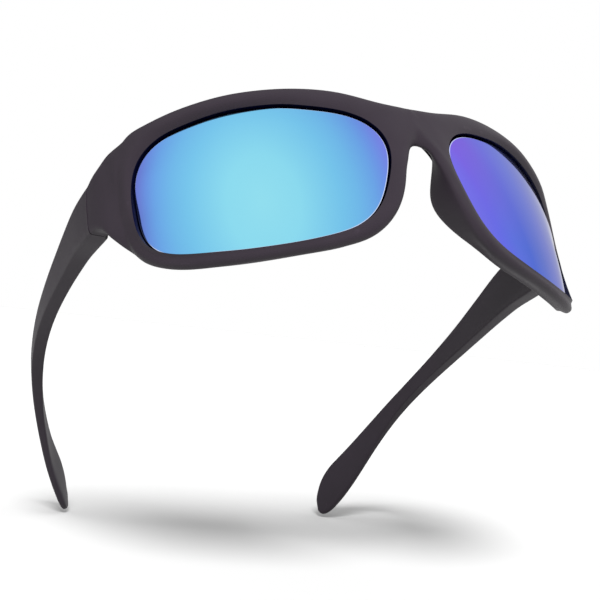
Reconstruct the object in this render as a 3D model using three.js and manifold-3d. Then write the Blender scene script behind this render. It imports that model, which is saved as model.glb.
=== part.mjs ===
// Wraparound sport sunglasses: moulded front, two lenses, two folding temples, two three-knuckle metal hinges.
// Millimetres, +Z up. The front faces -Y, the temples run to +Y, the wearer's left is +X.
// The glasses stand open on a table: the lower rims and the temple tips touch z = 0.
import * as THREE from 'three';
import Module from 'manifold-3d';

// ---------------------------------------------------------------- driving dimensions
const SIZE = 1.03;              // overall size factor on every length below
const PHI_STEP = 5;             // spacing of the PHI table along the wrap line
const PHI = [0.0, 0.0819, 0.1565, 0.2249, 0.2884, 0.3483, 0.4058, 0.4621, 0.5185, 0.5761, 0.6363, 0.7034, 0.7941, 0.9282,
  1.1128, 1.3038, 1.4452, 1.517, 1.5458, 1.5572, 1.5605, 1.5608, 1.5632, 1.5719, 1.5872, 1.6084, 1.6349, 1.6659, 1.7008,
  1.7385, 1.7781, 1.8186, 1.8589, 1.8982, 1.9364, 1.9737, 2.0102, 2.046, 2.0814, 2.1163, 2.151, 2.1856, 2.2202, 2.255];
                                // heading of the wrap line seen from above, radians
const CURVE_V = 0.00694;        // vertical curvature of the front, 1/mm
const PANTO = 0.03266;          // pantoscopic lean of the front, radians
const FADE_AT = 78, FADE_LEN = 4; // where the front's lean and curvature die out
const OPEN_S = 39.3;            // centre of the lens opening along the wrap line
const OPEN_R = 24.673;          // mean radius of the lens opening
const OPEN_AB = [[6.1251, -0.0334], [-0.0528, 0.247], [0.2487, -0.2836], [-0.1432, 0.3267], [-0.4748, -0.2449],
  [-0.0761, 0.1747], [-0.2481, -0.0961], [-0.0031, 0.0156], [-0.0194, -0.0053]]; // cosine and sine terms of the opening, orders 2 to 10
const LIP_T = 1.25;             // front lip in front of the lens groove
const GROOVE_IN = 0.95;         // depth of the lens groove into the rim
const GROOVE_BACK = 3.8;        // back wall of the groove behind the front lip
const REAR_D = 4.5;             // depth of the rim
const LENS_T = 1.9;             // lens thickness
const LENS_IN = 0.65;           // how far the lens edge reaches into the groove
const LENS_D = 1.55;            // lens front face behind the front lip
const SEAM_S = 83.0;            // end face of the endpiece
const SEAM_GAP = 0.35;          // gap between endpiece and temple
const TEMPLE_END = 195.7;       // tip of the temple along the wrap line
const TZ_S0 = 80, TZ_STEP = 5;  // temple height tables: middle line and half height
const TZC = [7.0, 7.35, 7.74, 8.19, 8.11, 7.8, 7.37, 6.88, 6.35, 5.75, 5.12, 4.41, 3.6, 2.65, 1.52, 0.15,
  -1.55, -3.64, -6.22, -9.2, -12.46, -15.78, -18.87, -22.43, -27.81];
const THH = [7.2, 6.95, 6.67, 6.3, 5.95, 5.5, 5.04, 4.62, 4.19, 3.79, 3.41, 3.08, 2.82, 2.66, 2.61, 2.7, 3.0,
  3.52, 4.2, 4.96, 5.78, 6.38, 6.7, 7.0, 7.15];
const AXIS_S = 83.18, AXIS_D = -2.7; // hinge axis
const KNUCKLE_R = 1.2, BORE_R = 0.88, SCREW_R = 0.55, HEAD_R = 1.15, WELL_R = 1.55;
const KN = [[3.0, 5.7], [6.0, 8.9], [9.2, 11.9]]; // knuckle heights: front, temple, front
const PITCH = 0.0358382;        // lean that puts rims and tips on the table, radians
const ORIGIN_Y = 78.5249, ORIGIN_Z = -21.4421; // shift that centres the box on the origin, with a 0.12 mm resting flat

// rim stations, anticlockwise seen from the front of the +X half:
// [opening s, z, outline s, z, kind, rear depth, how far the rear edge stands in from the outline, or the rear edge's own s, z]
// kind: t = endpiece root, r = rim, b = bridge; last, where the arch crowds them, the second, third, sixth and seventh points' own s, z
const STATIONS = [
  [67.8, -10.5, 71.9, -10.9, 't', 4.5, 0.9], [68.8, -6.0, 73.1, -6.1, 't', 4.5, 0.3], [69.1, -1.0, 73.5, -1.0, 't', 4.5, 0],
  [69.0, 4.0, 73.5, 4.5, 't', 4.5, 0], [67.8, 9.0, 73.3, 10.0, 't', 4.5, 0], [65.3, 13.0, 72.6, 15.5, 't', 4.5, 0],
  [61.5, 15.6, 70.5, 20.35, 't', 4.5, 0],
  [57.3, 16.7, 65.0, 21.15, 'r', 4.5, 0], [52.4, 17.5, 58.5, 22.15, 'r', 4.5, 0], [47.4, 18.3, 51.5, 23.0, 'r', 4.5, 0],
  [42.0, 18.7, 44.0, 23.6, 'r', 4.5, 0], [36.5, 18.7, 36.5, 23.7, 'r', 4.5, 0], [31.0, 18.5, 29.5, 23.5, 'r', 4.5, 0],
  [26.0, 17.3, 23.0, 22.8, 'r', 4.5, 0], [21.3, 16.0, 17.5, 21.8, 'r', 4.5, 0], [17.3, 15.0, 12.8, 20.55, 'r', 4.5, 0],
  [14.2, 13.5, 8.5, 19.4, 'r', 4.6, 0], [11.9, 12.0, 4.3, 18.75, 'r', 4.7, 0],
  [10.2, 10.2, 0, 18.6, 'b', 4.8, 0], [9.2, 8.4, 0, 17.0, 'b', 4.8, 0, 16.6, [[6.3, 10.9], [1.9, 15.0], [2.6, 15.4], [7.6, 11.2]]], [8.5, 6.5, 0, 13.9, 'b', 4.8, 0, 14.7, [[6.0, 8.7], [1.8, 12.4], [2.8, 13.8], [7.5, 10.0]]],
  [8.2, 4.5, 0, 10.5, 'b', 4.8, 0, 12.5, [[5.9, 6.8], [1.9, 9.7], [3.2, 12.2], [7.6, 8.6]]], [8.3, 2.4, 0, 6.9, 'b', 4.7, 0, 10.4, [[6.1, 5.0], [2.3, 7.6], [3.4, 10.7], [7.4, 7.4]]],
  [8.6, 0.2, 2.55, 5.5, 'r', 4.8, 5.5, 9.2, [[6.9, 2.4], [4.1, 5.0], [6.9, 7.6], [7.5, 4.0]]], [9.2, -2.2, 3.8, 2.6, 'r', 5.8, 6.2, 4.6], [9.9, -4.4, 4.8, -0.5, 'r', 7.4, 5.6, -0.4],
  [10.7, -6.6, 5.6, -3.7, 'r', 8.0, 0.4], [11.7, -9.0, 6.6, -6.9, 'r', 7.8, 0.7], [13.0, -11.4, 8.1, -10.3, 'r', 6.9, 1.2],
  [14.7, -13.7, 10.2, -13.5, 'r', 5.9, 1.7], [17.0, -15.6, 13.0, -16.4, 'r', 5.0, 2.0], [20.0, -17.0, 16.8, -18.75, 'r', 4.6, 1.8],
  [23.6, -17.9, 21.5, -20.0, 'r', 4.5, 1.2], [28.0, -18.5, 27.0, -20.9, 'r', 4.5, 1.2], [33.0, -18.8, 33.0, -21.3, 'r', 4.5, 1.2],
  [38.8, -18.9, 40.0, -21.4, 'r', 4.5, 1.2], [45.0, -18.7, 46.5, -21.2, 'r', 4.5, 1.2], [51.0, -18.0, 53.0, -20.5, 'r', 4.5, 1.2],
  [56.6, -17.2, 59.0, -19.3, 'r', 4.5, 1.2], [61.5, -16.0, 64.3, -17.3, 'r', 4.5, 1.2], [65.3, -13.6, 68.5, -14.7, 'r', 4.5, 1.2]];
// endpiece loops: [s, bottom z, top z, outer d, inner d]
const ENDPIECE = [[75.8, -5.6, 19.35, 1.4, -4.2], [78.2, -2.2, 17.4, 2.0, -3.9], [80.8, -0.3, 15.8, 2.5, -3.4],
  [83.0, 0.1, 14.4, 2.75, -2.9]];
const COL_F = [0, 0.075, 0.3, 0.52, 0.74, 0.91, 1]; // heights of the seven points up each side
const OUT_SHAPE = [-0.95, -0.12, 0, 0.05, 0, -0.3, -1.4]; // how far each outer point stands in from the widest one
const IN_SHAPE = [0.95, 0.12, 0, 0, 0, 0.25, 1.4];

// ---------------------------------------------------------------- the wrap line
const DS = 0.25, LINE = [[0, 0]];
// smooth curve through a table of equally spaced values
function cubic(T, x) {
  x = Math.min(Math.max(x, 0), T.length - 1.0001);
  const k = Math.floor(x), f = x - k, b = T[k], c = T[Math.min(k + 1, T.length - 1)], d = T[Math.min(k + 2, T.length - 1)];
  const a = k ? T[k - 1] : 2 * b - c;
  return b + 0.5 * f * (c - a + f * (2 * a - 5 * b + 4 * c - d + f * (3 * (b - c) + d - a)));
}
const heading = (s) => cubic(PHI, s / PHI_STEP);
for (let i = 1; i <= 215 / DS; i++) {
  const h = heading((i - 0.5) * DS), p = LINE[i - 1];
  LINE.push([p[0] + Math.cos(h) * DS, p[1] + Math.sin(h) * DS]);
}
// a point at distance s along the wrap line, height z, and d outwards from it, for the +X half
function at(s, z, d) {
  const i = Math.min(Math.max(s / DS, 0), LINE.length - 1.001), k = Math.floor(i), f = i - k;
  const h = heading(s), fade = 1 / (1 + Math.exp((s - FADE_AT) / FADE_LEN));
  const off = d - 0.5 * CURVE_V * z * z * fade;
  return [LINE[k][0] + (LINE[k + 1][0] - LINE[k][0]) * f + Math.sin(h) * off,
    LINE[k][1] + (LINE[k + 1][1] - LINE[k][1]) * f - Math.cos(h) * off + Math.tan(PANTO) * z * fade, z];
}
const table = (T, s) => cubic(T, (s - TZ_S0) / TZ_STEP);
// lean and shift to the table frame
const cp = Math.cos(PITCH), sp = Math.sin(PITCH);
const place = ([x, y, z]) => [x * SIZE, (y * cp - z * sp) * SIZE - ORIGIN_Y, (y * sp + z * cp) * SIZE - ORIGIN_Z];

// ---------------------------------------------------------------- mesh helpers
class Cage {
  constructor() { this.v = []; this.f = []; }
  p(q) { this.v.push(q); return this.v.length - 1; }
  quad(a, b, c, d) { this.f.push([a, b, c, d]); }
  mirror() { const c = new Cage(); c.v = this.v.map(([x, y, z]) => [-x, y, z]); c.f = this.f.map((f) => [...f].reverse()); return c; }
  triangles() { // a four-sided face is split along the diagonal that leaves its two halves flattest
    const cross = (a, b, c) => { const [p, q, r] = [a, b, c].map((i) => this.v[i]), u = q.map((n, i) => n - p[i]), w = r.map((n, i) => n - p[i]);
      const n = [u[1] * w[2] - u[2] * w[1], u[2] * w[0] - u[0] * w[2], u[0] * w[1] - u[1] * w[0]], l = Math.hypot(...n) || 1; return n.map((k) => k / l); };
    const agree = (a, b) => a[0] * b[0] + a[1] * b[1] + a[2] * b[2];
    return this.f.flatMap((f) => {
      if (f.length === 4) { const [a, b, c, d] = f;
        if (agree(cross(a, b, c), cross(a, c, d)) + 0.02 < agree(cross(b, c, d), cross(b, d, a))) return [[b, c, d], [b, d, a]]; }
      return f.slice(2).map((_, i) => [f[0], f[i + 1], f[i + 2]]);
    });
  }
}
// joins two cages, merging points that lie on each other
function weld(cages) {
  const out = new Cage(), seen = new Map();
  for (const c of cages) {
    const map = c.v.map((q) => { const k = q.map((n) => Math.round(n * 1e4) + 0).join();
      if (!seen.has(k)) seen.set(k, out.p(q)); return seen.get(k); });
    for (const f of c.f) out.f.push(f.map((i) => map[i]));
  }
  return out;
}
const wasm = await Module();
wasm.setup();
const solid = (cage) => new wasm.Manifold(new wasm.Mesh({ numProp: 3,
  vertProperties: new Float32Array(cage.v.map(place).flat()), triVerts: new Uint32Array(cage.triangles().flat()) }));
function geometry(man) {
  const m = man.getMesh(), pos = new Float32Array(m.numVert * 3);
  for (let i = 0; i < m.numVert; i++) for (let j = 0; j < 3; j++) pos[i * 3 + j] = m.vertProperties[i * m.numProp + j];
  const g = new THREE.BufferGeometry();
  g.setAttribute('position', new THREE.BufferAttribute(pos, 3));
  g.setIndex(new THREE.BufferAttribute(new Uint32Array(m.triVerts), 1));
  g.computeVertexNormals();
  return g;
}

// ---------------------------------------------------------------- front frame, +X half
function opening(s, z) { // moves a point onto the opening's edge, with the outward normal there
  const r = (t) => OPEN_R + OPEN_AB.reduce((a, [ca, cb], i) => a + ca * Math.cos((i + 2) * t) + cb * Math.sin((i + 2) * t), 0);
  const q = (t) => [OPEN_S + r(t) * Math.cos(t), r(t) * Math.sin(t)];
  const t = Math.atan2(z, s - OPEN_S), a = q(t - 0.02), b = q(t + 0.02), l = Math.hypot(b[0] - a[0], b[1] - a[1]);
  return { p: q(t), n: [(b[1] - a[1]) / l, -(b[0] - a[0]) / l] };
}
const clamp = (v) => Math.min(Math.max(v, 0), 1);
function frameHalf() {
  const c = new Cage();
  const ring = STATIONS.map(([is, iz, os, oz, kind, rear, tuck, rz, own]) => {
    const { p, n } = opening(is, iz), e = [os - p[0], oz - p[1]], w = Math.hypot(...e), u = [e[0] / w, e[1] / w];
    const put = (s, z, d) => c.p(at(Math.max(s, 0), z, d));
    const on = (k, d) => put(k === w && kind === 'b' ? 0 : p[0] + u[0] * k, p[1] + u[1] * k, d);
    const nn = (k, d) => put(p[0] + n[0] * k, p[1] + n[1] * k, d);
    const crown = 0.42 + 0.024 * oz * clamp((os - 6) / 18) + 0.45 * clamp((os - 28) / 14) * clamp((oz - 2) / 10)
      - 0.55 * clamp((os - 50) / 12) * clamp(-(oz + 1) / 6); // the top stands further out
    const pad = rear - REAR_D, flange = pad > 0.6; // the nose-pad flange stands out at the back
    const mid = kind === 'b' && oz < 18 && oz > 7.5, root = kind === 't' && oz > -10 && oz < 20;
    const R = rz === undefined ? [os - u[0] * tuck, oz - u[1] * tuck] : [tuck, rz]; // rear outer edge
    const g = [p[0] - R[0], p[1] - R[1]], gl = Math.hypot(...g);
    const back = (k, d) => put(R[0] + g[0] / gl * k, R[1] + g[1] / gl * k, d); // from the rear edge towards the opening
    const d2 = crown - 0.1 + 0.12 * clamp((9 - os) / 5) * clamp(oz / 5);
    const r = [on(0, 0), on(w * 0.3, crown), on(w * (os < 20 && oz > 5 ? 0.79 : 0.76), d2), on(w, mid ? 0.45 : root ? crown + 0.1 : crown - 1.5),
      put(kind === 'b' ? 0 : R[0], R[1], mid ? -4.3 : root ? -4.4 : flange ? -(rear - 1.2) : -3.4),
      back(flange ? 1.1 : gl * 0.22, -rear + (flange ? 0 : 0.1)), back(flange ? Math.min(2.6, gl * 0.75) : gl * 0.72, flange ? -(REAR_D + pad * 0.6) : -rear),
      on(0, -4.4), on(0, -GROOVE_BACK), nn(GROOVE_IN, -GROOVE_BACK), nn(GROOVE_IN, -LIP_T), on(0, -LIP_T)];
    if (own) [[1, crown], [2, d2], [5, -rear + 0.1], [6, -rear]].forEach(([m, d], i) => { c.v[r[m]] = at(own[i][0], own[i][1], d); });
    return r;
  });
  const N = ring.length, M = 12;
  for (let k = 0; k < N; k++) {
    const a = ring[k], b = ring[(k + 1) % N], ka = STATIONS[k][4], kb = STATIONS[(k + 1) % N][4];
    for (let m = 0; m < M; m++) {
      if (m === 3 && ((ka === 'b' && kb === 'b') || (ka === 't' && kb === 't'))) continue;
      c.quad(a[m], a[(m + 1) % M], b[(m + 1) % M], b[m]);
    }
  }
  // endpiece: the open loop at the temporal side drawn out to the seam
  const T = STATIONS.map((s, i) => i).filter((i) => STATIONS[i][4] === 't');
  let outer = T.map((i) => ring[i][3]), inner = T.map((i) => ring[i][4]);
  for (const [s, zb, zt, dO, dI] of ENDPIECE) {
    const o2 = COL_F.map((f, i) => c.p(at(s, zb + (zt - zb) * f, dO + OUT_SHAPE[i])));
    const i2 = COL_F.map((f, i) => c.p(at(s, zb + (zt - zb) * f, dI + IN_SHAPE[i])));
    for (let i = 0; i < 6; i++) {
      c.quad(outer[i], o2[i], o2[i + 1], outer[i + 1]);
      c.quad(inner[i + 1], i2[i + 1], i2[i], inner[i]);
    }
    c.quad(inner[0], i2[0], o2[0], outer[0]);
    c.quad(outer[6], o2[6], i2[6], inner[6]);
    outer = o2; inner = i2;
  }
  for (let i = 0; i < 6; i++) c.quad(outer[i], inner[i], inner[i + 1], outer[i + 1]);
  return c;
}

// ---------------------------------------------------------------- lens, +X half
function lensHalf() {
  const c = new Cage();
  const edge = STATIONS.map(([s, z]) => { const { p, n } = opening(s, z); return [p[0] + n[0] * LENS_IN, p[1] + n[1] * LENS_IN]; });
  const N = edge.length, rings = [1, 0.82, 0.62, 0.42, 0.2];
  const face = (d) => rings.map((f) => edge.map(([s, z]) => c.p(at(OPEN_S + (s - OPEN_S) * f, z * f, d))));
  const fr = face(-LENS_D), bk = face(-LENS_D - LENS_T), cf = c.p(at(OPEN_S, 0, -LENS_D)), cb = c.p(at(OPEN_S, 0, -LENS_D - LENS_T));
  for (let k = 0; k < N; k++) {
    const j = (k + 1) % N;
    for (let r = 0; r < rings.length - 1; r++) { c.quad(fr[r][k], fr[r][j], fr[r + 1][j], fr[r + 1][k]); c.quad(bk[r + 1][k], bk[r + 1][j], bk[r][j], bk[r][k]); }
    c.f.push([fr[rings.length - 1][k], fr[rings.length - 1][j], cf]); c.f.push([bk[rings.length - 1][j], bk[rings.length - 1][k], cb]);
    c.quad(bk[0][k], bk[0][j], fr[0][j], fr[0][k]);
  }
  return c;
}

// ---------------------------------------------------------------- temple, +X half
const THICK = [[83, 2.75, -2.9], [92, 2.65, -2.6], [100, 2.38, -2.28], [110, 2.13, -1.95], [120, 2.02, -1.85], [130, 1.9, -1.8],
  [140, 1.77, -1.75], [150, 1.7, -1.6], [160, 1.56, -1.36], [170, 1.27, -1.1], [180, 0.72, -1.35], [190, -0.25, -2.4], [197, -1.1, -3.2]]; // outer and inner face along the temple
const thick = (s, j) => { let k = 0; while (k < THICK.length - 2 && s > THICK[k + 1][0]) k++;
  const [a, b] = [THICK[k], THICK[k + 1]]; return a[j] + (b[j] - a[j]) * (s - a[0]) / (b[0] - a[0]); };
const TIP_R = 8.5; // length of the rounded end
function templeHalf() {
  const c = new Cage(), S = [SEAM_S + SEAM_GAP, 85.5, 88, 92, 97, 103, 109, 116, 123, 130, 137, 144, 150, 156, 162, 168, 174, 180, 185];
  for (const a of [0.12, 0.34, 0.56, 0.76, 0.91, 0.985]) S.push(TEMPLE_END - TIP_R + TIP_R * a);
  let prev = null;
  const loops = S.map((s) => {
    const k = Math.max((s - (TEMPLE_END - TIP_R)) / TIP_R, 0), shrink = Math.pow(Math.max(1 - Math.pow(k, 2.3), 0.01), 1 / 2.3), thin = 1 - 0.35 * k * k;
    const zc = table(TZC, s), hh = table(THH, s) * shrink, e = Math.min(1, hh / 4) * thin, edge = Math.min(1, Math.max(0.62, 1 - (s - 83) * 0.014));
    const o = COL_F.map((f, i) => c.p(at(s, zc - hh + 2 * hh * f, thick(s, 1) * thin + OUT_SHAPE[i] * e * edge)));
    const n = COL_F.map((f, i) => c.p(at(s, zc - hh + 2 * hh * f, thick(s, 2) * thin + IN_SHAPE[i] * e * edge)));
    return [...o, ...n.reverse()];
  });
  for (let j = 0; j < loops.length - 1; j++) for (let i = 0; i < 14; i++) {
    const a = loops[j], b = loops[j + 1], i2 = (i + 1) % 14;
    c.quad(a[i], b[i], b[i2], a[i2]);
  }
  const A = loops[0], B = loops[loops.length - 1];
  for (let i = 0; i < 6; i++) { c.quad(A[i], A[i + 1], A[12 - i], A[13 - i]); c.quad(B[i], B[13 - i], B[12 - i], B[i + 1]); }
  return c;
}

// ---------------------------------------------------------------- hinge, +X half
const hingeAxis = (() => { const [x, y] = at(AXIS_S, 0, AXIS_D); return [x, y]; })();
function tube(z0, z1, ro, ri, n = 20) { // ring about the hinge axis, or a plain rod when ri is 0
  const c = new Cage(), ang = (i) => (i / n) * 2 * Math.PI;
  const ringAt = (r, z) => Array.from({ length: n }, (_, i) => c.p([hingeAxis[0] + r * Math.cos(ang(i)), hingeAxis[1] + r * Math.sin(ang(i)), z]));
  const ob = ringAt(ro, z0), ot = ringAt(ro, z1);
  if (ri > 0) {
    const ib = ringAt(ri, z0), it = ringAt(ri, z1);
    for (let i = 0; i < n; i++) { const j = (i + 1) % n;
      c.quad(ob[i], ob[j], ot[j], ot[i]); c.quad(it[i], it[j], ib[j], ib[i]); c.quad(ot[i], ot[j], it[j], it[i]); c.quad(ib[i], ib[j], ob[j], ob[i]); }
  } else {
    for (let i = 0; i < n; i++) { const j = (i + 1) % n; c.quad(ob[i], ob[j], ot[j], ot[i]); }
    c.f.push([...ot]); c.f.push([...ob].reverse());
  }
  return c;
}
function plate(s0, s1, z0, z1, d0, d1, n = 4) { // a leaf that follows the wrap line
  const c = new Cage(), cols = Array.from({ length: n + 1 }, (_, i) => { const s = s0 + (s1 - s0) * i / n;
    return [[z0, d0], [z1, d0], [z1, d1], [z0, d1]].map(([z, d]) => c.p(at(s, z, d))); });
  for (let i = 0; i < n; i++) for (let m = 0; m < 4; m++) c.quad(cols[i][(m + 1) % 4], cols[i + 1][(m + 1) % 4], cols[i + 1][m], cols[i][m]);
  c.quad(...[...cols[0]].reverse()); c.quad(...cols[n]);
  return c;
}
const PLATE_D = [-2.2, -1.5];
const join = (cages, cuts = []) => cuts.reduce((m, q) => m.subtract(q), cages.reduce((m, q) => m.add(q)));

// ---------------------------------------------------------------- assembly
const looks = {
  frame: { color: 0x434046, roughness: 0.62, metalness: 0 }, lens: { color: 0x4fa8e8, roughness: 0.05, metalness: 0.9 },
  steel: { color: 0xb9bcc2, roughness: 0.3, metalness: 1 } };
const group = new THREE.Group();
function add(name, man, look) {
  const mesh = new THREE.Mesh(geometry(man), new THREE.MeshStandardMaterial(look));
  mesh.name = name;
  group.add(mesh);
}
// the table: a thin slice that gives the rims and tips small resting flats
const TABLE = (() => { const b = new THREE.BoxGeometry(400, 400, 20).toNonIndexed().getAttribute('position'), c = new Cage();
  for (let i = 0; i < b.count; i += 3) c.f.push([0, 1, 2].map((j) => c.p([b.getX(i + j), b.getY(i + j), b.getZ(i + j) - 10])));
  const w = weld([c]);
  return new wasm.Manifold(new wasm.Mesh({ numProp: 3, vertProperties: new Float32Array(w.v.flat()), triVerts: new Uint32Array(w.triangles().flat()) })); })();

const half = frameHalf();
// slots in the end faces for the hinge leaves, and a well around the knuckles that opens at the bottom for the screw
const slot = (c0, c1) => plate(c0, c1, KN[0][0] - 0.35, KN[2][1] + 0.35, PLATE_D[0] - 0.32, PLATE_D[1] + 0.32);
const well = tube(-6, KN[2][1] + 0.45, WELL_R, 0, 24), slotF = slot(77.4, 83.6), slotT = slot(82.8, 89.0);
add('front_frame', join([solid(weld([half, half.mirror()]))], [slotF, well].flatMap((c) => [solid(c), solid(c.mirror())]).concat([TABLE])), looks.frame);
for (const [side, flip] of [['left', (c) => c], ['right', (c) => c.mirror()]]) {
  const S = (c) => solid(flip(c));
  const bore = S(tube(KN[0][0] - 1, KN[2][1] + 1, BORE_R, 0));
  add(`lens_${side}`, S(lensHalf()), looks.lens);
  add(`temple_${side}`, join([S(templeHalf())], [S(slotT), S(well), TABLE]), looks.frame);
  add(`hinge_front_leaf_${side}`, join([S(plate(77.7, 81.55, KN[0][0], KN[2][1], ...PLATE_D)),
    S(plate(81.3, 83.1, KN[0][0], KN[0][1], ...PLATE_D)), S(plate(81.3, 83.1, KN[2][0], KN[2][1], ...PLATE_D)),
    S(tube(KN[0][0], KN[0][1], KNUCKLE_R, 0)), S(tube(KN[2][0], KN[2][1], KNUCKLE_R, 0))], [bore]), looks.steel);
  add(`hinge_temple_leaf_${side}`, join([S(plate(84.8, 88.7, KN[0][0], KN[2][1], ...PLATE_D)),
    S(plate(83.25, 85.0, KN[1][0], KN[1][1], ...PLATE_D)), S(tube(KN[1][0], KN[1][1], KNUCKLE_R, 0))], [bore]), looks.steel);
  add(`hinge_screw_${side}`, join([S(tube(KN[0][0] - 0.5, KN[2][1] + 0.1, SCREW_R, 0)), S(tube(KN[0][0] - 1.1, KN[0][0] - 0.3, HEAD_R, 0))]), looks.steel);
}
export default group;
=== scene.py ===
import bpy, bmesh, math
from mathutils import Matrix, Vector


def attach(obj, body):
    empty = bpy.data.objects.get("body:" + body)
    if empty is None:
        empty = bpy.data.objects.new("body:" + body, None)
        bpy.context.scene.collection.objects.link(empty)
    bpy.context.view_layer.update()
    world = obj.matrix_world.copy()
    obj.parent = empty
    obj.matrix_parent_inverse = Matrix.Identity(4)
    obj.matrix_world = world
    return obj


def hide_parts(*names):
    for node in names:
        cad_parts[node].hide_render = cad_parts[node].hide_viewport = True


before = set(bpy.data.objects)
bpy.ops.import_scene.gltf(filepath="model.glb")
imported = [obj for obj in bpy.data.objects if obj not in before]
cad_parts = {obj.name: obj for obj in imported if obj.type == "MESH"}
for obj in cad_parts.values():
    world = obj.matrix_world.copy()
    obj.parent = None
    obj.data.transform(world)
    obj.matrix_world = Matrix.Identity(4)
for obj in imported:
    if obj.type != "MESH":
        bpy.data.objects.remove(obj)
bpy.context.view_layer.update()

D = bpy.data
SC = bpy.context.scene

# ------------------------------------------------------------------ the design's own numbers, in mm before SIZE
SIZE = 1.03
PHI_STEP = 5
CURVE_V = 0.00694
PANTO = 0.03266
FADE_AT = 78
FADE_LEN = 4
OPEN_S = 39.3
OPEN_R = 24.673
LIP_T = 1.25
GROOVE_IN = 0.95
GROOVE_BACK = 3.8
REAR_D = 4.5
LENS_T = 1.9
LENS_IN = 0.65
LENS_D = 1.55
SEAM_S = 83.0
SEAM_GAP = 0.35
TEMPLE_END = 195.7
TZ_S0 = 80
TZ_STEP = 5
AXIS_S = 83.18
AXIS_D = -2.7
KNUCKLE_R = 1.2
BORE_R = 0.88
SCREW_R = 0.55
HEAD_R = 1.15
WELL_R = 1.55
PITCH = 0.0358382
ORIGIN_Y = 78.5249
ORIGIN_Z = -21.4421
TIP_R = 8.5
PHI = [0.0, 0.0819, 0.1565, 0.2249, 0.2884, 0.3483, 0.4058, 0.4621, 0.5185, 0.5761, 0.6363, 0.7034, 0.7941, 0.9282,
    1.1128, 1.3038, 1.4452, 1.517, 1.5458, 1.5572, 1.5605, 1.5608, 1.5632, 1.5719, 1.5872, 1.6084, 1.6349, 1.6659, 1.7008,
    1.7385, 1.7781, 1.8186, 1.8589, 1.8982, 1.9364, 1.9737, 2.0102, 2.046, 2.0814, 2.1163, 2.151, 2.1856, 2.2202, 2.255]
OPEN_AB = [[6.1251, -0.0334], [-0.0528, 0.247], [0.2487, -0.2836], [-0.1432, 0.3267], [-0.4748, -0.2449],
    [-0.0761, 0.1747], [-0.2481, -0.0961], [-0.0031, 0.0156], [-0.0194, -0.0053]]
TZC = [7.0, 7.35, 7.74, 8.19, 8.11, 7.8, 7.37, 6.88, 6.35, 5.75, 5.12, 4.41, 3.6, 2.65, 1.52, 0.15,
    -1.55, -3.64, -6.22, -9.2, -12.46, -15.78, -18.87, -22.43, -27.81]
THH = [7.2, 6.95, 6.67, 6.3, 5.95, 5.5, 5.04, 4.62, 4.19, 3.79, 3.41, 3.08, 2.82, 2.66, 2.61, 2.7, 3.0,
    3.52, 4.2, 4.96, 5.78, 6.38, 6.7, 7.0, 7.15]
KN = [[3.0, 5.7], [6.0, 8.9], [9.2, 11.9]]
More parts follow.
